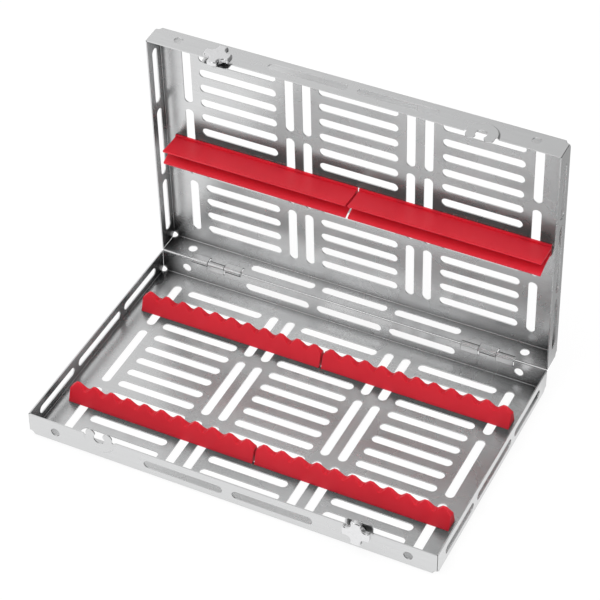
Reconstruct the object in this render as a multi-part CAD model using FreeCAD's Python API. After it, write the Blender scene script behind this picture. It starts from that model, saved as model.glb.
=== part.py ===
import FreeCAD, Part
import math
import os
from FreeCAD import Vector

# Instrument cassette for steam sterilising: two perforated folded steel trays, one the base
# and one the lid, joined by two curled hinges and closed by two quarter-turn latches.
# Millimetres, +Z up, +X to the right, front towards -Y. The origin is the centre of the
# underside of the base tray. The lid is drawn open, as the cassette stands on a table.

# Tray
WIDTH = 280.0
DEPTH = 177.0
HALF_HEIGHT = 17.0
RIM_GAP = 0.2
SHEET = 0.8
BEND_INSIDE = 0.6
CORNER_RELIEF = 2.6
SEAM_GAP = 0.4

# Perforation of the floor
SLOT_WIDTH = 6.2
ROWS = 13
ROW_PITCH = 12.08
BLOCK_LENGTH = 54.8
BLOCK_PITCH = 84.65
COLUMN_PLACES = (36.0, 48.2, WIDTH / 2 - 19.0)
LONG_COLUMN = 55.0
SHORT_COLUMN = 43.2
COLUMN_PITCH = 54.7

# Perforation of the walls
WALL_SLOT_HEIGHT = 6.0
WALL_SLOT_LEVEL = 8.5
ROUND_HOLE = 6.2
REAR_SLOT_LENGTH = 47.0
REAR_SLOT_PITCH = 52.7
FRONT_SLOT_LENGTH = 54.5
FRONT_SLOT_PLACE = 30.55

# Hinges
HINGE_INSET = 41.3
KNUCKLE_LENGTH = 12.3
KNUCKLE_GAP = 0.5
KNUCKLE_JOGGLE = 0.9
KNUCKLE_STEP = 1.0
KNUCKLE_SLIT = 5.0
PIN_DIAMETER = 2.0
PIN_CLEARANCE = 0.05
CURL_ANGLE = 285.0
KNUCKLE_ROOM = 0.3
OPEN_ANGLE = 88.0

# Latches
LATCH_INSET = 51.3
EAR_REACH = 5.8
LUG_WIDTH = 18.6
LUG_CORNER = 3.0
KEYHOLE_DIAMETER = 7.5
EAR_WIDTH = 6.5
JOGGLE_CLEARANCE = 0.1
JOGGLE_SLOPE = 1.2
JOGGLE_MARGIN = 0.4
SPIGOT_DIAMETER = 5.0
SPIGOT_CLEARANCE = 0.05
DRUM_CLEARANCE = 0.1
DRUM_FLATS = 5.2
COLLAR_DIAMETER = 10.4
COLLAR_GAP = 0.2
KNOB_BACK = 2.4
KNOB_THICKNESS = 3.2
KNOB_DIAMETER = 18.6
KNOB_SCOOP_RADIUS = 3.3
KNOB_SCOOP_PLACE = 9.3
KNOB_FACE_EDGE = 1.2
KNOB_BACK_EDGE = 0.4
KNOB_CORNER = 0.9
FLAT_WASHER_DIAMETER = 11.0
FLAT_WASHER_THICKNESS = 0.8
SPRING_WASHER_DIAMETER = 9.6
SPRING_WASHER_SHEET = 0.4
SPRING_WASHER_HEIGHT = 0.8
RIVET_SHANK = 2.6
RIVET_DEPTH = 6.6
RIVET_HEAD = 7.6
RIVET_HEAD_HEIGHT = 1.5
SEAT_GAP = 0.05

# Silicone rails
RAIL_INSET = 7.8
RAIL_SPLIT = 1.6
BASE_RAIL_ROWS = 4
RAIL_FOOT = 10.2
RAIL_TOP = 15.4
RAIL_CREST = 0.9
TOOTH_PITCH = 12.1
TOOTH_CROWN = 1.7
TOOTH_ROOT = 1.9
TOOTH_SLOPE = 50.0
PLUG_CLEARANCE = 0.05
FOOT_FRONT = -3.3
FOOT_REAR = 5.6
LIP_FOOT_THICKNESS = 1.4
LIP_HEIGHT = 19.6
LIP_ROOT_THICKNESS = 2.0
LIP_TIP_THICKNESS = 1.3
FRONT_LIP_ROOT = -0.9
FRONT_LIP_TIP = -2.4
FRONT_LIP_BOW = 0.5
REAR_LIP_ROOT = 3.2
REAR_LIP_TIP = 7.4
REAR_LIP_BOW = -0.8

RIM = HALF_HEIGHT - RIM_GAP / 2
FRONT_FACE = -DEPTH / 2
REAR_FACE = DEPTH / 2
BEND_OUTSIDE = BEND_INSIDE + SHEET
BORE_RADIUS = PIN_DIAMETER / 2 + PIN_CLEARANCE
CURL_RADIUS = BORE_RADIUS + SHEET
HINGE_PLACE = WIDTH / 2 - HINGE_INSET
HINGE_OFFSET = BORE_RADIUS - KNUCKLE_JOGGLE
HINGE_AXIS = Vector(0, REAR_FACE + HINGE_OFFSET, HALF_HEIGHT)
LATCH_PLACE = WIDTH / 2 - LATCH_INSET
RAIL_END = WIDTH / 2 - RAIL_INSET
JOGGLE = SHEET + JOGGLE_CLEARANCE


def block(x0, x1, y0, y1, z0, z1):
    return Part.makeBox(x1 - x0, y1 - y0, z1 - z0, Vector(x0, y0, z0))


def stadium(length, width):
    """Closed outline of a slot with round ends, along X about the origin, in the XY plane."""
    reach = length / 2 - width / 2
    half = width / 2
    corners = [Vector(-reach, -half, 0), Vector(reach, -half, 0),
               Vector(reach, half, 0), Vector(-reach, half, 0)]
    right = Part.Arc(corners[1], Vector(length / 2, 0, 0), corners[2]).toShape()
    left = Part.Arc(corners[3], Vector(-length / 2, 0, 0), corners[0]).toShape()
    lower = Part.LineSegment(corners[0], corners[1]).toShape()
    upper = Part.LineSegment(corners[2], corners[3]).toShape()
    return Part.Wire([lower, right, upper, left])


def prism(wire, depth):
    return Part.Face(wire).extrude(Vector(0, 0, depth))


def floor_slot(x, y, length, along_y=False):
    cut = prism(stadium(length, SLOT_WIDTH), 3 * SHEET)
    if along_y:
        cut.rotate(Vector(0, 0, 0), Vector(0, 0, 1), 90)
    cut.translate(Vector(x, y, -SHEET))
    return cut


def wall_slot(centre, length, height, facing):
    """Slot through an upright wall. facing is "y" for a front or rear wall, "x" for a side."""
    cut = prism(stadium(length, height), 4 * SHEET)
    cut.translate(Vector(0, 0, -2 * SHEET))
    cut.rotate(Vector(0, 0, 0), Vector(1, 0, 0), 90)
    if facing == "x":
        cut.rotate(Vector(0, 0, 0), Vector(0, 0, 1), 90)
    cut.translate(centre)
    return cut


def round_hole(centre, diameter):
    return Part.makeCylinder(diameter / 2, 4 * SHEET, centre - Vector(0, 2 * SHEET, 0), Vector(0, 1, 0))


def row_places():
    return [(row - (ROWS - 1) / 2) * ROW_PITCH for row in range(ROWS)]


def column_slots():
    """(y, length) of the three slots of one upright column, shared by floor and side walls."""
    return [(-COLUMN_PITCH, SHORT_COLUMN), (0.0, LONG_COLUMN), (COLUMN_PITCH, SHORT_COLUMN)]


def floor_cuts():
    cuts = []
    for y in row_places():
        for block_number in (-1, 0, 1):
            cuts.append(floor_slot(block_number * BLOCK_PITCH, y, BLOCK_LENGTH))
    for place in COLUMN_PLACES:
        for side in (-1, 1):
            for y, length in column_slots():
                cuts.append(floor_slot(side * place, y, length, along_y=True))
    return cuts


def wall_cuts():
    cuts = []
    for side in (-1, 1):
        side_face = side * (WIDTH / 2 - SHEET / 2)
        for y, length in column_slots():
            centre = Vector(side_face, y, WALL_SLOT_LEVEL)
            cuts.append(wall_slot(centre, length, WALL_SLOT_HEIGHT, "x"))
        for face in (FRONT_FACE, REAR_FACE):
            cuts.append(round_hole(Vector(side * COLUMN_PLACES[-1], face, WALL_SLOT_LEVEL), ROUND_HOLE))
        centre = Vector(side * FRONT_SLOT_PLACE, FRONT_FACE, WALL_SLOT_LEVEL)
        cuts.append(wall_slot(centre, FRONT_SLOT_LENGTH, WALL_SLOT_HEIGHT, "y"))
    for place in (-1, 0, 1):
        centre = Vector(place * REAR_SLOT_PITCH, REAR_FACE, WALL_SLOT_LEVEL)
        cuts.append(wall_slot(centre, REAR_SLOT_LENGTH, WALL_SLOT_HEIGHT, "y"))
    return cuts


def folded_pan():
    """Floor and four walls of one sheet, with round bends, open seams and corner reliefs."""
    outer = block(-WIDTH / 2, WIDTH / 2, FRONT_FACE, REAR_FACE, 0, RIM)
    low_edges = [edge for edge in outer.Edges if edge.BoundBox.ZMax < SHEET / 2]
    outer = outer.makeFillet(BEND_OUTSIDE, low_edges)
    half_inside = (WIDTH / 2 - SHEET, DEPTH / 2 - SHEET)
    inner = block(-half_inside[0], half_inside[0], -half_inside[1], half_inside[1], SHEET, RIM + SHEET)
    low_edges = [edge for edge in inner.Edges if edge.BoundBox.ZMax < 1.5 * SHEET]
    pan = outer.cut(inner.makeFillet(BEND_INSIDE, low_edges))
    cuts = []
    for side in (-1, 1):
        for end in (-1, 1):
            corner = Vector(side * WIDTH / 2, end * DEPTH / 2, 0)
            inward = Vector(-side * SHEET, -end * SHEET, SHEET)
            cuts.append(Part.makeSphere(CORNER_RELIEF, corner + inward))
            seam = block(-2 * SHEET, 2 * SHEET, -SEAM_GAP / 2, SEAM_GAP / 2, SHEET, 2 * HALF_HEIGHT)
            seam.rotate(Vector(0, 0, 0), Vector(0, 0, 1), 45 * side * end)
            seam.translate(corner + inward - Vector(0, 0, SHEET))
            cuts.append(seam)
    return pan.cut(cuts)


def knuckle(x0, x1):
    """Strip of the rear wall that steps inward above its slits and curls outward round the pin."""
    low = HINGE_AXIS.z - KNUCKLE_SLIT
    step = low + KNUCKLE_STEP
    face = HINGE_AXIS.y - BORE_RADIUS
    section = [Vector(x0, REAR_FACE, low), Vector(x0, face, step), Vector(x0, face, HINGE_AXIS.z),
               Vector(x0, face - SHEET, HINGE_AXIS.z), Vector(x0, face - SHEET, step),
               Vector(x0, REAR_FACE - SHEET, low)]
    strip = Part.Face(Part.makePolygon(section + section[:1])).extrude(Vector(x1 - x0, 0, 0))
    ring = Part.makeCylinder(CURL_RADIUS, x1 - x0, Vector(x0, HINGE_AXIS.y, HINGE_AXIS.z), Vector(1, 0, 0))
    reach = 2 * CURL_RADIUS
    missing = 360 - CURL_ANGLE
    mouth = Part.Face(Part.makePolygon([
        Vector(x0, HINGE_AXIS.y, HINGE_AXIS.z),
        Vector(x0, HINGE_AXIS.y - reach, HINGE_AXIS.z),
        Vector(x0, HINGE_AXIS.y - reach, HINGE_AXIS.z - reach * math.tan(math.radians(missing / 2))),
        Vector(x0, HINGE_AXIS.y - reach * math.cos(math.radians(missing)),
               HINGE_AXIS.z - reach * math.sin(math.radians(missing))),
        Vector(x0, HINGE_AXIS.y, HINGE_AXIS.z)]))
    curl = ring.cut(mouth.extrude(Vector(x1 - x0, 0, 0)))
    bore = Part.makeCylinder(BORE_RADIUS, x1 - x0, Vector(x0, HINGE_AXIS.y, HINGE_AXIS.z), Vector(1, 0, 0))
    return strip.fuse(curl).cut(bore)


def knuckle_spans():
    """(start, end, own) of every knuckle. One hinge keeps the middle one, the other the outer two."""
    spans = []
    for side in (-1, 1):
        for number in (-1, 0, 1):
            centre = side * HINGE_PLACE + number * KNUCKLE_LENGTH
            own = (number == 0) == (side == -1)
            spans.append((centre - KNUCKLE_LENGTH / 2, centre + KNUCKLE_LENGTH / 2, own))
    return spans


def with_hinges(pan):
    """Notch the wall for the other tray's knuckles, slit it beside its own and add those."""
    for start, end, own in knuckle_spans():
        depth = KNUCKLE_SLIT if own else CURL_RADIUS + KNUCKLE_ROOM
        notch = block(start - KNUCKLE_GAP / 2, end + KNUCKLE_GAP / 2,
                      REAR_FACE - 2 * SHEET, REAR_FACE + SHEET,
                      HALF_HEIGHT - depth, HALF_HEIGHT + SHEET)
        pan = pan.cut(notch)
        if own:
            pan = pan.fuse(knuckle(start + KNUCKLE_GAP / 2, end - KNUCKLE_GAP / 2))
    return pan


def rounded_plate(x0, x1, z0, z1, radius, y0, y1):
    """Upright plate with its two upper corners rounded."""
    plate = block(x0, x1, y0, y1, z0, z1)
    upper = [edge for edge in plate.Edges
             if edge.BoundBox.ZMin > z1 - SHEET / 4 and edge.BoundBox.XLength < SHEET / 4]
    return plate.makeFillet(radius, upper)


def lug_reach():
    """Greatest distance of the lug's outline from the latch axis."""
    corner = (LUG_WIDTH / 2 - LUG_CORNER, EAR_REACH - LUG_CORNER)
    return math.hypot(corner[0], corner[1]) + LUG_CORNER


def latch_lug(x):
    plate = rounded_plate(x - LUG_WIDTH / 2, x + LUG_WIDTH / 2, RIM - SHEET, HALF_HEIGHT + EAR_REACH,
                          LUG_CORNER, FRONT_FACE, FRONT_FACE + SHEET)
    return plate


def keyhole_zone(x):
    """Pressed disc, one sheet further out, with two ears that reach past the rim."""
    flat = lug_reach() + JOGGLE_MARGIN
    outer = flat + JOGGLE_SLOPE
    y = FRONT_FACE
    section = [Vector(x, y - JOGGLE, 0), Vector(x + flat, y - JOGGLE, 0), Vector(x + outer, y, 0),
               Vector(x + outer, y + SHEET, 0), Vector(x + flat, y - JOGGLE + SHEET, 0),
               Vector(x, y - JOGGLE + SHEET, 0)]
    face = Part.Face(Part.makePolygon(section + section[:1]))
    dish = face.revolve(Vector(x, 0, 0), Vector(0, 1, 0), 360)
    dish.translate(Vector(0, 0, HALF_HEIGHT))
    depth = (y - 2 * JOGGLE, y + 2 * SHEET)
    outline = block(x - outer, x + outer, depth[0], depth[1], BEND_OUTSIDE, RIM)
    for side in (-1, 1):
        centre = x + side * (LUG_WIDTH - EAR_WIDTH) / 2
        ear = rounded_plate(centre - EAR_WIDTH / 2, centre + EAR_WIDTH / 2, RIM - SHEET,
                            HALF_HEIGHT + EAR_REACH, EAR_WIDTH / 2 - SEAT_GAP, depth[0], depth[1])
        outline = outline.fuse(ear)
    return dish.common(outline)


def with_latch_seats(pan):
    outer = lug_reach() + JOGGLE_MARGIN + JOGGLE_SLOPE
    key_axis = Vector(-LATCH_PLACE, FRONT_FACE - 2 * JOGGLE, HALF_HEIGHT)
    opening = Part.makeCylinder(outer, 4 * JOGGLE, key_axis, Vector(0, 1, 0))
    low = block(-LATCH_PLACE - 2 * outer, -LATCH_PLACE + 2 * outer,
                FRONT_FACE - SHEET, FRONT_FACE + 4 * SHEET, -SHEET, BEND_OUTSIDE)
    pan = pan.cut(opening.cut(low)).fuse(keyhole_zone(-LATCH_PLACE))
    pan = pan.cut(Part.makeCylinder(KEYHOLE_DIAMETER / 2, 4 * JOGGLE, key_axis, Vector(0, 1, 0)))
    pan = pan.fuse(latch_lug(LATCH_PLACE))
    lug_axis = Vector(LATCH_PLACE, FRONT_FACE, HALF_HEIGHT)
    return pan.cut(round_hole(lug_axis, SPIGOT_DIAMETER + 2 * SPIGOT_CLEARANCE))


def tray():
    pan = folded_pan()
    pan = with_hinges(pan)
    pan = with_latch_seats(pan)
    return pan.cut(floor_cuts() + wall_cuts())


def hinge_pin(side):
    start = side * HINGE_PLACE - 1.5 * KNUCKLE_LENGTH + KNUCKLE_GAP / 2
    length = 3 * KNUCKLE_LENGTH - KNUCKLE_GAP
    pin = Part.makeCylinder(PIN_DIAMETER / 2, length, HINGE_AXIS + Vector(start, 0, 0), Vector(1, 0, 0))
    ends = [edge for edge in pin.Edges if edge.BoundBox.XLength < SHEET / 4]
    return pin.makeChamfer(PIN_DIAMETER / 10, ends)


def latch_knob():
    """Cast knob, drawn on the latch axis: y = 0 is the outer face of the wall, outward is -y."""
    y0, y1 = -KNOB_BACK - KNOB_THICKNESS, -KNOB_BACK
    inward = Vector(0, 1, 0)
    knob = Part.makeCylinder(KNOB_DIAMETER / 2, KNOB_THICKNESS, Vector(0, y0, 0), inward)
    for number in range(4):
        angle = math.radians(45 + 90 * number)
        centre = Vector(KNOB_SCOOP_PLACE * math.cos(angle), y0 - SHEET, KNOB_SCOOP_PLACE * math.sin(angle))
        knob = knob.cut(Part.makeCylinder(KNOB_SCOOP_RADIUS, KNOB_THICKNESS + 2 * SHEET, centre, inward))
    upright = [edge for edge in knob.Edges if edge.BoundBox.YLength > KNOB_THICKNESS / 2
               and edge.BoundBox.XLength + edge.BoundBox.ZLength < KNOB_CORNER]
    knob = knob.makeFillet(KNOB_CORNER, upright)
    for level, radius in ((y0, KNOB_FACE_EDGE), (y1, KNOB_BACK_EDGE)):
        rims = [edge for edge in knob.Edges
                if edge.BoundBox.YLength < SHEET / 8 and abs(edge.BoundBox.Center.y - level) < SHEET / 8]
        knob = knob.makeFillet(radius, rims)
    return knob.cut(rivet_shank())


def rivet_shank():
    end = SHEET + inner_stack()
    return Part.makeCylinder(RIVET_SHANK / 2, RIVET_DEPTH, Vector(0, end - RIVET_DEPTH, 0), Vector(0, 1, 0))


def latch_cam():
    """Collar behind the knob, drum with two flats in the keyhole, and the spigot that turns in the lug."""
    collar_front = -JOGGLE - COLLAR_GAP
    outward_end = Vector(0, -KNOB_BACK, 0)
    collar = Part.makeCylinder(COLLAR_DIAMETER / 2, KNOB_BACK + collar_front, outward_end, Vector(0, 1, 0))
    drum_radius = KEYHOLE_DIAMETER / 2 - DRUM_CLEARANCE
    drum_length = -collar_front - SEAT_GAP
    drum = Part.makeCylinder(drum_radius, drum_length, Vector(0, collar_front, 0), Vector(0, 1, 0))
    drum = drum.common(block(-DRUM_FLATS / 2, DRUM_FLATS / 2, -KNOB_BACK, 0, -drum_radius, drum_radius))
    spigot_length = SEAT_GAP + SHEET + inner_stack()
    spigot = Part.makeCylinder(SPIGOT_DIAMETER / 2, spigot_length, Vector(0, -SEAT_GAP, 0), Vector(0, 1, 0))
    return collar.fuse([drum, spigot]).cut(rivet_shank()).removeSplitter()


def inner_stack():
    """Height of the two washers between the wall and the rivet head."""
    return SEAT_GAP + FLAT_WASHER_THICKNESS + SPRING_WASHER_HEIGHT


def turned(points):
    """Ring turned about the latch axis from (radius, y) points."""
    outline = [Vector(radius, y, 0) for radius, y in points]
    return Part.Face(Part.makePolygon(outline + outline[:1])).revolve(Vector(0, 0, 0), Vector(0, 1, 0), 360)


def flat_washer():
    hole = SPIGOT_DIAMETER / 2 + SPIGOT_CLEARANCE
    edge = FLAT_WASHER_DIAMETER / 2
    y0 = SHEET + SEAT_GAP
    y1 = y0 + FLAT_WASHER_THICKNESS
    return turned([(hole, y0), (edge, y0), (edge, y1), (hole, y1)])


def spring_washer():
    """Dished washer: its outer edge bears on the flat washer and its inner edge on the rivet head."""
    hole = SPIGOT_DIAMETER / 2 + SPIGOT_CLEARANCE
    edge = SPRING_WASHER_DIAMETER / 2
    y0 = SHEET + SEAT_GAP + FLAT_WASHER_THICKNESS
    y1 = y0 + SPRING_WASHER_HEIGHT
    sheet = SPRING_WASHER_SHEET
    return turned([(edge, y0), (edge, y0 + sheet), (hole, y1), (hole, y1 - sheet)])


def latch_rivet():
    head_face = SHEET + inner_stack()
    radius = RIVET_HEAD / 2
    ball = (radius ** 2 + RIVET_HEAD_HEIGHT ** 2) / (2 * RIVET_HEAD_HEIGHT)
    dome = Part.makeSphere(ball, Vector(0, head_face + RIVET_HEAD_HEIGHT - ball, 0))
    head = dome.common(block(-radius, radius, head_face, head_face + 2 * radius, -radius, radius))
    return rivet_shank().fuse(head).removeSplitter()


def wave_line(start, count):
    """Points of the scalloped top edge: crowns and roots as arcs joined by straight flanks."""
    slope = math.radians(TOOTH_SLOPE)
    half_run = TOOTH_ROOT * math.sin(slope / 2)
    half_rise = TOOTH_ROOT * (1 - math.cos(slope / 2))
    flank = (TOOTH_PITCH / 2 - (TOOTH_CROWN + TOOTH_ROOT) * math.sin(slope)) / math.cos(slope)
    tooth = (TOOTH_CROWN + TOOTH_ROOT) * (1 - math.cos(slope)) + flank * math.sin(slope)
    root = RAIL_TOP - tooth
    crown_run = TOOTH_CROWN * math.sin(slope)
    crown_drop = TOOTH_CROWN * (1 - math.cos(slope))
    root_run = TOOTH_ROOT * math.sin(slope)
    root_rise = TOOTH_ROOT * (1 - math.cos(slope))
    edges = []
    for number in range(count):
        x = start + number * TOOTH_PITCH
        top = x + TOOTH_PITCH / 2
        right = x + TOOTH_PITCH
        a = Vector(x, 0, root)
        b = Vector(x + root_run, 0, root + root_rise)
        bend = Vector(x + half_run, 0, root + half_rise)
        edges.append(Part.Arc(a, bend, b).toShape())
        c = Vector(top - crown_run, 0, RAIL_TOP - crown_drop)
        d = Vector(top + crown_run, 0, RAIL_TOP - crown_drop)
        edges.append(Part.LineSegment(b, c).toShape())
        edges.append(Part.Arc(c, Vector(top, 0, RAIL_TOP), d).toShape())
        e = Vector(right - root_run, 0, root + root_rise)
        edges.append(Part.LineSegment(d, e).toShape())
        bend = Vector(right - half_run, 0, root + half_rise)
        edges.append(Part.Arc(e, bend, Vector(right, 0, root)).toShape())
    return edges


def rail_plugs(y, start, end):
    """Tongues under a rail that fill the floor slots of the row at y, between start and end."""
    plugs = []
    for block_number in (-1, 0, 1):
        plug = prism(stadium(BLOCK_LENGTH - 2 * PLUG_CLEARANCE, SLOT_WIDTH - 2 * PLUG_CLEARANCE), SHEET)
        plug.translate(Vector(block_number * BLOCK_PITCH, y, 0))
        plug = plug.common(block(start, end, y - SLOT_WIDTH, y + SLOT_WIDTH, 0, SHEET))
        if plug.Volume > 0:
            plugs.append(plug)
    return plugs


def toothed_rail(y, side):
    """Half of a base rail: a ridge that leans in on both sides, with a scalloped crest."""
    inner, outer = RAIL_SPLIT / 2, RAIL_END
    half = RAIL_FOOT / 2
    lean = math.atan2(half, RAIL_TOP + RAIL_CREST - SHEET)
    crest_side = RAIL_CREST * math.cos(lean)
    crest_level = RAIL_TOP - RAIL_CREST + RAIL_CREST * math.sin(lean)
    foot = [Vector(inner, -half, SHEET), Vector(inner, half, SHEET)]
    crest = [Vector(inner, crest_side, crest_level), Vector(inner, 0, RAIL_TOP),
             Vector(inner, -crest_side, crest_level)]
    sides = [Part.LineSegment(foot[0], foot[1]), Part.LineSegment(foot[1], crest[0]),
             Part.Arc(*crest), Part.LineSegment(crest[2], foot[0])]
    section = Part.Wire([side_line.toShape() for side_line in sides])
    ridge = Part.Face(section).extrude(Vector(outer - inner, 0, 0))
    count = math.ceil(outer / TOOTH_PITCH)
    wave = wave_line(0.0, count)
    first, last = wave[0].Vertexes[0].Point, wave[-1].Vertexes[-1].Point
    ceiling = RAIL_TOP + TOOTH_PITCH
    lid_line = [Part.LineSegment(last, Vector(last.x, 0, ceiling)).toShape(),
                Part.LineSegment(Vector(last.x, 0, ceiling), Vector(first.x, 0, ceiling)).toShape(),
                Part.LineSegment(Vector(first.x, 0, ceiling), first).toShape()]
    cutter = Part.Face(Part.Wire(wave + lid_line)).extrude(Vector(0, RAIL_FOOT, 0))
    cutter.translate(Vector(0, -half, 0))
    rail = ridge.cut(cutter)
    rail.translate(Vector(0, y, 0))
    if side < 0:
        rail = rail.mirror(Vector(0, 0, 0), Vector(1, 0, 0))
        inner, outer = -outer, -inner
    return rail.fuse(rail_plugs(y, inner, outer)).removeSplitter()


def lip_outline(root, tip, bow):
    """Closed outline of one soft lip, bowed by the given amount and thinner at its tip."""
    low, high = SHEET + LIP_FOOT_THICKNESS / 2, LIP_HEIGHT
    middle = ((root + tip) / 2 + bow, (low + high) / 2)
    thick = (LIP_ROOT_THICKNESS + LIP_TIP_THICKNESS) / 4
    sides = []
    for way in (-1, 1):
        sides.append((Vector(0, root + way * LIP_ROOT_THICKNESS / 2, low),
                      Vector(0, middle[0] + way * thick, middle[1]),
                      Vector(0, tip + way * LIP_TIP_THICKNESS / 2, high)))
    front, rear = sides
    lines = [Part.Arc(*front), Part.LineSegment(front[2], rear[2]),
             Part.Arc(rear[2], rear[1], rear[0]), Part.LineSegment(rear[0], front[0])]
    return Part.Wire([line.toShape() for line in lines])


def lipped_rail(y, side):
    """Half of the lid rail: a foot with two soft lips, the rear one leaning back."""
    start, end = (RAIL_SPLIT / 2, RAIL_END) if side > 0 else (-RAIL_END, -RAIL_SPLIT / 2)
    rail = block(start, end, FOOT_FRONT, FOOT_REAR, SHEET, SHEET + LIP_FOOT_THICKNESS)
    front_lip = lip_outline(FRONT_LIP_ROOT, FRONT_LIP_TIP, FRONT_LIP_BOW)
    rear_lip = lip_outline(REAR_LIP_ROOT, REAR_LIP_TIP, REAR_LIP_BOW)
    for outline in (front_lip, rear_lip):
        lip = Part.Face(outline).extrude(Vector(end - start, 0, 0))
        lip.translate(Vector(start, 0, 0))
        rail = rail.fuse(lip)
    rail.translate(Vector(0, y, 0))
    return rail.fuse(rail_plugs(y, start, end)).removeSplitter()


def as_lid(shape):
    """Turn a base piece over about the front-to-back axis, and open it about the hinge axis."""
    lid = shape.copy()
    lid.rotate(Vector(0, 0, HALF_HEIGHT), Vector(0, 1, 0), 180)
    lid.rotate(HINGE_AXIS, Vector(1, 0, 0), -OPEN_ANGLE)
    return lid


def footprint_centre():
    """Middle of the front-to-back reach of the open cassette, from the knob to the lid's lower edge."""
    front = FRONT_FACE - KNOB_BACK - KNOB_THICKNESS
    opening = math.radians(OPEN_ANGLE)
    bend = (HINGE_OFFSET + BEND_OUTSIDE, HALF_HEIGHT - BEND_OUTSIDE)
    rear = HINGE_AXIS.y - bend[0] * math.cos(opening) + bend[1] * math.sin(opening) + BEND_OUTSIDE
    return (front + rear) / 2


def latch_pieces():
    return {"knob": latch_knob(), "cam": latch_cam(), "flat_washer": flat_washer(),
            "spring_washer": spring_washer(), "rivet": latch_rivet()}


def cassette():
    pieces = {}
    pan = tray()
    pieces["base_tray"] = pan
    pieces["lid_tray"] = as_lid(pan)
    pieces["left_hinge_pin"] = hinge_pin(-1)
    pieces["right_hinge_pin"] = hinge_pin(1)
    rail_place = BASE_RAIL_ROWS * ROW_PITCH
    for side, name in ((-1, "left"), (1, "right")):
        pieces["front_rail_" + name] = toothed_rail(-rail_place, side)
        pieces["rear_rail_" + name] = toothed_rail(rail_place, side)
        pieces["lid_rail_" + name] = as_lid(lipped_rail(0.0, -side))
    for name, shape in latch_pieces().items():
        shape.translate(Vector(LATCH_PLACE, FRONT_FACE, HALF_HEIGHT))
        pieces["base_latch_" + name] = shape
        pieces["lid_latch_" + name] = as_lid(shape)
    return pieces


os.makedirs("parts", exist_ok=True)
centring = Vector(0, -footprint_centre(), 0)
for node, shape in cassette().items():
    shape.translate(centring)
    shape.exportStep(os.path.join("parts", node + ".step"))
    state = "valid" if shape.isValid() else "INVALID"
    print(node, len(shape.Solids), "solid", round(shape.Volume, 1), "mm3", state)
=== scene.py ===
import math

import bpy
from mathutils import Euler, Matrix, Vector

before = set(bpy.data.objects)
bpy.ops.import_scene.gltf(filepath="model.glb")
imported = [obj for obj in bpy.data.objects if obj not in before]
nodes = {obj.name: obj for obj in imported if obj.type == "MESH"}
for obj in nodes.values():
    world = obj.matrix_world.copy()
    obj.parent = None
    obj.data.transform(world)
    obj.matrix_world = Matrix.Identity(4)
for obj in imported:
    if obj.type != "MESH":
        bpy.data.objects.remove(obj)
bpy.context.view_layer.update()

print("frame loaded:", len(nodes), "CAD nodes")

# Small helpers for shader trees

mixSockets = {"FLOAT": (2, 3, 0), "RGBA": (6, 7, 2)}  # the Mix node's two inputs and its result
noiseSpan = (0.3, 0.7)  # most of a noise lies between these
white = (1, 1, 1, 1)


def newMaterial(name):
    material = bpy.data.materials.new(name)
    material.use_nodes = True
    return material, material.node_tree, material.node_tree.nodes["Principled BSDF"]


def feed(tree, value, socket):  # links a socket, sets anything else
    if isinstance(value, bpy.types.NodeSocket):
        tree.links.new(value, socket)
    else:
        socket.default_value = value


def addNode(tree, kind, settings=None, **inputs):  # a _ in an input's name stands for its blank
    node = tree.nodes.new(kind)
    for key, value in (settings or {}).items():
        setattr(node, key, value)
    for key, value in inputs.items():
        feed(tree, value, node.inputs[key.replace("_", " ")])
    return node


def mathOf(tree, operation, first, second):
    node = addNode(tree, "ShaderNodeMath", {"operation": operation})
    feed(tree, first, node.inputs[0])
    feed(tree, second, node.inputs[1])
    return node.outputs[0]


def mixOf(tree, kind, factor, first, second):  # kind is FLOAT for numbers and RGBA for colours
    node = addNode(tree, "ShaderNodeMix", {"data_type": kind})
    firstInput, secondInput, result = mixSockets[kind]
    feed(tree, factor, node.inputs[0])
    feed(tree, first, node.inputs[firstInput])
    feed(tree, second, node.inputs[secondInput])
    return node.outputs[result]


def shaderMixOf(tree, factor, first, second):
    node = addNode(tree, "ShaderNodeMixShader")
    feed(tree, factor, node.inputs[0])
    feed(tree, first, node.inputs[1])
    feed(tree, second, node.inputs[2])
    return node.outputs[0]


def setSurface(tree, outputName, shaderResult):
    tree.links.new(shaderResult, tree.nodes[outputName].inputs["Surface"])


def objectPoint(tree, stretch=(1, 1, 1)):
    place = addNode(tree, "ShaderNodeTexCoord").outputs["Object"]
    return addNode(tree, "ShaderNodeMapping", Vector=place, Scale=stretch).outputs["Vector"]


def noiseAt(tree, point, size, detail=2.0):  # size is the width of one blotch in metres
    noise = addNode(tree, "ShaderNodeTexNoise", Vector=point, Scale=1 / size, Detail=detail)
    return noise.outputs["Fac"]


def spread(tree, factor, low, high, span=noiseSpan):  # low where the factor starts its span
    ends = {"From_Min": span[0], "From_Max": span[1], "To_Min": low, "To_Max": high}
    return addNode(tree, "ShaderNodeMapRange", {"clamp": True}, Value=factor, **ends).outputs["Result"]


def colourBetween(tree, factor, dark, light):
    return mixOf(tree, "RGBA", factor, (*dark, 1), (*light, 1))


def alongWay(tree, vector, way):  # how far a vector reaches in one direction
    node = addNode(tree, "ShaderNodeVectorMath", {"operation": "DOT_PRODUCT"})
    feed(tree, vector, node.inputs[0])
    feed(tree, way, node.inputs[1])
    return node.outputs["Value"]


def lightPath(tree, ray):
    return addNode(tree, "ShaderNodeLightPath").outputs[ray]


def bumpChain(tree, shader, layers):  # (height, strength, distance in metres) from coarse to fine
    normal = None
    for height, strength, distance in layers:
        bump = addNode(tree, "ShaderNodeBump", Strength=strength, Distance=distance, Height=height)
        if normal is not None:
            tree.links.new(normal, bump.inputs["Normal"])
        normal = bump.outputs["Normal"]
    tree.links.new(normal, shader.inputs["Normal"])


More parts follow.
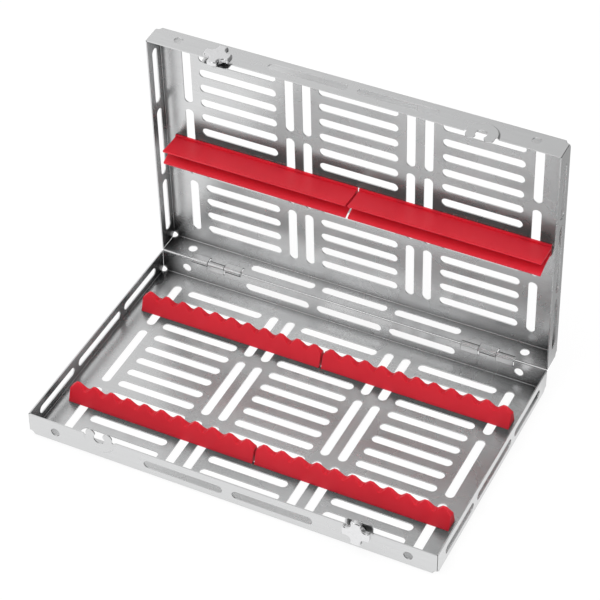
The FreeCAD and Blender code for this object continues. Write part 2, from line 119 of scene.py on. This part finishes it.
def paintShadeInNooks(tree, colour, values):  # painted shade: full colour in the open, less where metal stands close by
    for nook in values["nooks"]:
        options = {"samples": values["nookRays"], "only_local": nook["ownPieceOnly"]}
        openness = addNode(tree, "ShaderNodeAmbientOcclusion", options, Distance=nook["reach"])
        share = spread(tree, openness.outputs["AO"], values["paintedShadeTone"], 1.0, nook["span"])
        withPaintedShade = addNode(tree, "ShaderNodeVectorMath", {"operation": "SCALE"}, Scale=share)
        tree.links.new(colour, withPaintedShade.inputs[0])
        colour = withPaintedShade.outputs[0]
    return colour


def makeMetal(shader, tree, colour, roughness):
    tree.links.new(colour, shader.inputs["Base Color"])
    tree.links.new(roughness, shader.inputs["Roughness"])
    shader.inputs["Metallic"].default_value = 1.0


# Folded stainless sheet of base and lid, all sizes in metres

sheetFinish = {
    "dark": (0.7, 0.705, 0.71),
    "light": (0.8, 0.802, 0.805),
    "roughness": (0.22, 0.32),
    "nooks": [
        {"reach": 0.05, "ownPieceOnly": True, "span": (0.22, 0.68)},  # painted shade in the corners of the tray
        {"reach": 0.0016, "ownPieceOnly": False, "span": (0.3, 0.85)},  # painted shade in seams and hinge gaps
    ],
    "paintedShadeTone": 0.03,  # share of the colour that the painted shade leaves at a nook's bottom
    "nookRays": 8,
    "cloudSize": 0.03,
    "cloudDetail": 3,
    "dentSize": 0.045,
    "dentStrength": 0.35,
    "dentDepth": 0.00018,
    "grainSize": 0.0006,
    "grainStretch": 40,  # grain lines are this much longer than wide
    "grainStrength": 0.4,
    "grainDepth": 0.000004,
}


def sheetMaterial(values):
    material, tree, shader = newMaterial("satinStainless")
    point = objectPoint(tree)
    cloud = noiseAt(tree, point, values["cloudSize"], values["cloudDetail"])
    dent = noiseAt(tree, point, values["dentSize"])
    grain = noiseAt(tree, objectPoint(tree, (1 / values["grainStretch"], 1, 1)), values["grainSize"])
    bare = colourBetween(tree, grain, values["dark"], values["light"])
    withPaintedShade = paintShadeInNooks(tree, bare, values)
    makeMetal(shader, tree, withPaintedShade, spread(tree, cloud, *values["roughness"]))
    dentLayer = (dent, values["dentStrength"], values["dentDepth"])
    grainLayer = (grain, values["grainStrength"], values["grainDepth"])
    bumpChain(tree, shader, [dentLayer, grainLayer])
    return material


# Hinge pins, drawn wire

wireFinish = {
    "dark": (0.42, 0.425, 0.43),
    "light": (0.6, 0.605, 0.61),
    "roughness": (0.25, 0.4),
    "lineSize": 0.0003,
    "lineStretch": 50,
}


def wireMaterial(values):
    material, tree, shader = newMaterial("drawnWire")
    lines = noiseAt(tree, objectPoint(tree, (1 / values["lineStretch"], 1, 1)), values["lineSize"])
    colour = colourBetween(tree, lines, values["dark"], values["light"])
    makeMetal(shader, tree, colour, spread(tree, lines, *values["roughness"]))
    return material


# Polished cast knobs

knobFinish = {
    "dark": (0.8, 0.8, 0.81),
    "light": (0.93, 0.93, 0.94),
    "roughness": (0.06, 0.14),
    # painted shade where other metal, such as the wall behind, stands close to the knob
    "nooks": [{"reach": 0.008, "ownPieceOnly": False, "span": (0.42, 0.98)}],
    "paintedShadeTone": 0.03,
    "nookRays": 8,
    "hazeSize": 0.0035 / 3,
    "hazeDetail": 4,
    "rippleSize": 0.0035,
    "rippleStrength": 0.5,
    "rippleDepth": 0.00012,
}


def knobMaterial(values):
    material, tree, shader = newMaterial("polishedCasting")
    point = objectPoint(tree)
    ripple = noiseAt(tree, point, values["rippleSize"])
    haze = noiseAt(tree, point, values["hazeSize"], values["hazeDetail"])
    bare = colourBetween(tree, haze, values["dark"], values["light"])
    withPaintedShade = paintShadeInNooks(tree, bare, values)
    makeMetal(shader, tree, withPaintedShade, spread(tree, haze, *values["roughness"]))
    bumpChain(tree, shader, [(ripple, values["rippleStrength"], values["rippleDepth"])])
    return material


# Turned cams, washers and rivets

turnedFinish = {
    "dark": (0.5, 0.505, 0.51),
    "light": (0.66, 0.665, 0.67),
    "roughness": (0.18, 0.32),
    "markSize": 0.0004,
    "markDetail": 3,
}


def turnedMaterial(values):
    material, tree, shader = newMaterial("turnedSteel")
    marks = noiseAt(tree, objectPoint(tree), values["markSize"], values["markDetail"])
    colour = colourBetween(tree, marks, values["dark"], values["light"])
    makeMetal(shader, tree, colour, spread(tree, marks, *values["roughness"]))
    return material


# Red silicone of the rails

siliconeFinish = {
    "deep": (0.51, 0.007, 0.019),
    "bright": (0.62, 0.014, 0.03),
    "mirrored": (0.035, 0.4),  # painted reflection: grey tones given to its mirror images in the steel, so they show no red
    "mirroredWay": (0, 0.707, -0.707),  # faces that look this way have the second, lighter painted tone there
    "mirroredSpan": (-0.3, 0.3),
    "roughness": (0.42, 0.54),
    "gloss": 0.4,
    "bleed": 0.4,
    "bleedReach": (0.012, 0.003, 0.003),
    "cloudSize": 0.02,
    "cloudDetail": 3,
    "waveSize": 0.03,
    "waveDetail": 1,
    "waveStrength": 0.4,
    "waveDepth": 0.0004,
    "pebbleSize": 0.0007,
    "pebbleStrength": 0.3,
    "pebbleDepth": 0.00001,
}


def siliconeMaterial(values):
    material, tree, shader = newMaterial("redSilicone")
    point = objectPoint(tree)
    cloud = noiseAt(tree, point, values["cloudSize"], values["cloudDetail"])
    pebble = noiseAt(tree, point, values["pebbleSize"])
    wave = noiseAt(tree, point, values["waveSize"], values["waveDetail"])
    red = colourBetween(tree, cloud, values["deep"], values["bright"])
    # painted reflection: glossy rays see a grey instead of red, darker or lighter by which way the
    # face looks
    normal = addNode(tree, "ShaderNodeTexCoord").outputs["Normal"]
    facing = alongWay(tree, normal, values["mirroredWay"])
    paintedReflectionGrey = spread(tree, facing, *values["mirrored"], values["mirroredSpan"])
    colour = mixOf(tree, "RGBA", lightPath(tree, "Is Glossy Ray"), red, paintedReflectionGrey)
    tree.links.new(colour, shader.inputs["Base Color"])
    tree.links.new(spread(tree, pebble, *values["roughness"]), shader.inputs["Roughness"])
    shader.inputs["Specular IOR Level"].default_value = values["gloss"]
    shader.inputs["Subsurface Weight"].default_value = values["bleed"]
    shader.inputs["Subsurface Radius"].default_value = values["bleedReach"]
    shader.inputs["Subsurface Scale"].default_value = 1.0
    waveLayer = (wave, values["waveStrength"], values["waveDepth"])
    pebbleLayer = (pebble, values["pebbleStrength"], values["pebbleDepth"])
    bumpChain(tree, shader, [waveLayer, pebbleLayer])
    return material


def dress(names, material):
    for name in names:
        piece = nodes[name]
        piece.data.materials.clear()
        piece.data.materials.append(material)


halves = ("base", "lid")
smallParts = ("cam", "flat_washer", "spring_washer", "rivet")
knobs = [half + "_latch_knob" for half in halves]
turnedPieces = [half + "_latch_" + part for half in halves for part in smallParts]
rails = [name for name in nodes if "_rail_" in name]
dress(["base_tray", "lid_tray"], sheetMaterial(sheetFinish))
dress(["left_hinge_pin", "right_hinge_pin"], wireMaterial(wireFinish))
dress(knobs, knobMaterial(knobFinish))
dress(turnedPieces, turnedMaterial(turnedFinish))
dress(rails, siliconeMaterial(siliconeFinish))
print("materials on", len(nodes), "pieces")

# Table, with one look for the camera and one for mirror images

tableLook = {
    "size": 6.0,
    "drop": 0.0002,  # keeps the table clear of the base's underside
    "colour": (0.9, 0.9, 0.9, 1),
    "roughness": 0.8,
    "shadowShare": 0.12,  # how much of the seen table is lit by the lamps, the rest is plain white
    "paintedReflectionTones": (0.9, 0.3),  # painted shade of the table in mirror images: its tone under the cassette, and behind its right end
    "mirroredWay": (0.45, 0.89, 0),  # the painted shade falls in this direction
    "mirroredSpan": (0.13, 0.19),  # where the fall starts and ends, in metres along it
}


def tableMaterial(values):
    material, tree, shader = newMaterial("paleTable")
    shader.inputs["Base Color"].default_value = values["colour"]
    shader.inputs["Roughness"].default_value = values["roughness"]
    # painted shade: in mirror images the table glows less towards the back right
    place = addNode(tree, "ShaderNodeNewGeometry").outputs["Position"]
    reach = alongWay(tree, place, values["mirroredWay"])
    mirrored = spread(tree, reach, *values["paintedReflectionTones"], values["mirroredSpan"])
    strength = mixOf(tree, "FLOAT", lightPath(tree, "Is Camera Ray"), mirrored, 1.0)
    glow = addNode(tree, "ShaderNodeEmission", Color=white, Strength=strength).outputs[0]
    seen = lightPath(tree, "Is Camera Ray")
    for ray in ("Is Glossy Ray", "Is Transmission Ray"):
        seen = mathOf(tree, "MAXIMUM", seen, lightPath(tree, ray))
    share = mathOf(tree, "MULTIPLY", seen, 1 - values["shadowShare"])
    setSurface(tree, "Material Output", shaderMixOf(tree, share, shader.outputs[0], glow))
    return material


def makeTable(values):
    bpy.ops.mesh.primitive_plane_add(size=values["size"], location=(0, 0, -values["drop"]))
    table = bpy.context.object
    table.name = "table"
    table.data.materials.append(tableMaterial(values))


makeTable(tableLook)
print("table")

# Studio cards at the camera's side, upright and seen in mirror images alone

cards = {
    "upperFlag": {"place": (0.24, -0.7, 1.26), "size": (1.28, 0.9), "strength": 0.03},
    "lowerFlag": {"place": (0.4, -0.71, 0.51), "size": (1.1, 0.5), "strength": 0.05},
    "hingeFlag": {"place": (-0.295, -0.69, 0.785), "size": (0.23, 0.09), "strength": 0.03},
    "leftFlag": {"place": (-0.56, -0.69, 0.68), "size": (0.16, 0.2), "strength": 0.3},
    "lowCard": {"place": (-0.32, -0.69, 0.64), "size": (0.24, 0.14), "strength": 2.2},
    "highCard": {"place": (-0.46, -0.69, 0.92), "size": (0.26, 0.24), "strength": 1.35},
}


def makeCard(name, values):
    material, tree, shader = newMaterial(name + "Glow")
    glow = addNode(tree, "ShaderNodeEmission", Color=white, Strength=values["strength"])
    setSurface(tree, "Material Output", glow.outputs[0])
    upright = (math.radians(90), 0, 0)
    bpy.ops.mesh.primitive_plane_add(size=1, location=values["place"], rotation=upright)
    card = bpy.context.object
    card.name = name
    card.scale = (*values["size"], 1)
    card.data.materials.append(material)
    card.visible_camera = False
    card.visible_diffuse = False
    card.visible_shadow = False


for cardName, cardValues in cards.items():
    makeCard(cardName, cardValues)
print("cards:", len(cards))

# Room light

roomLook = {
    "ambient": 0.98,  # on matt surfaces
    "mirrored": (0.83, 0.2),  # in mirror images: the room as a whole, and its dark side
    "darkSideWay": (0.68, 0.68, 0.27),
    "darkSideSpan": (0.3, 0.85),  # cosines of the angles from it between which the tone falls
}


def makeWorld(values):
    world = bpy.data.worlds.new("studio")
    bpy.context.scene.world = world
    world.use_nodes = True
    tree = world.node_tree
    direction = addNode(tree, "ShaderNodeTexCoord").outputs["Generated"]
    nearness = alongWay(tree, direction, values["darkSideWay"])
    room = spread(tree, nearness, *values["mirrored"], values["darkSideSpan"])
    strength = mixOf(tree, "FLOAT", lightPath(tree, "Is Glossy Ray"), values["ambient"], room)
    light = tree.nodes["Background"]
    light.inputs["Color"].default_value = white
    tree.links.new(strength, light.inputs["Strength"])
    backdrop = addNode(tree, "ShaderNodeBackground", Color=white, Strength=1.0)
    seen = lightPath(tree, "Is Camera Ray")
    both = shaderMixOf(tree, seen, light.outputs[0], backdrop.outputs[0])
    setSurface(tree, "World Output", both)


makeWorld(roomLook)
print("room light")

# Lamps

lamps = {
    "softboxAbove": {"place": (-0.3, -0.5, 1.3), "aim": (0, 0, 0.05), "size": 1.1, "power": 8},
    "softboxRight": {"place": (1.2, -0.2, 0.7), "aim": (0, 0, 0.08), "size": 0.8, "power": 5},
}


def makeLamp(name, values):
    data = bpy.data.lights.new(name, "AREA")
    data.size = values["size"]
    data.energy = values["power"]
    lamp = bpy.data.objects.new(name, data)
    bpy.context.scene.collection.objects.link(lamp)
    lamp.location = values["place"]
    lamp.visible_glossy = False
    towards = Vector(values["aim"]) - Vector(values["place"])
    lamp.rotation_euler = towards.to_track_quat("-Z", "Y").to_euler()


for lampName, lampValues in lamps.items():
    makeLamp(lampName, lampValues)
print("lamps:", len(lamps))

# Camera of the photograph's view

cameraView = {
    "place": (0.48739, -0.98035, 1.05422),
    "turn": (50.237, 0.229, 25.663),  # degrees about X, Y and Z
    "lens": 141.99,
    "sensorWidth": 36,
    "shift": (-0.0182, -0.111),
    "seenFrom": 0.05,
    "seenTo": 50,
}


def makeCamera(values):
    data = bpy.data.cameras.new("camera")
    data.sensor_width = values["sensorWidth"]
    data.lens = values["lens"]
    data.shift_x, data.shift_y = values["shift"]
    data.clip_start, data.clip_end = values["seenFrom"], values["seenTo"]
    camera = bpy.data.objects.new("camera", data)
    bpy.context.scene.collection.objects.link(camera)
    camera.location = values["place"]
    camera.rotation_euler = Euler([math.radians(angle) for angle in values["turn"]], "XYZ")
    bpy.context.scene.camera = camera


makeCamera(cameraView)
bpy.context.scene.view_settings.view_transform = "Standard"
print("camera set")
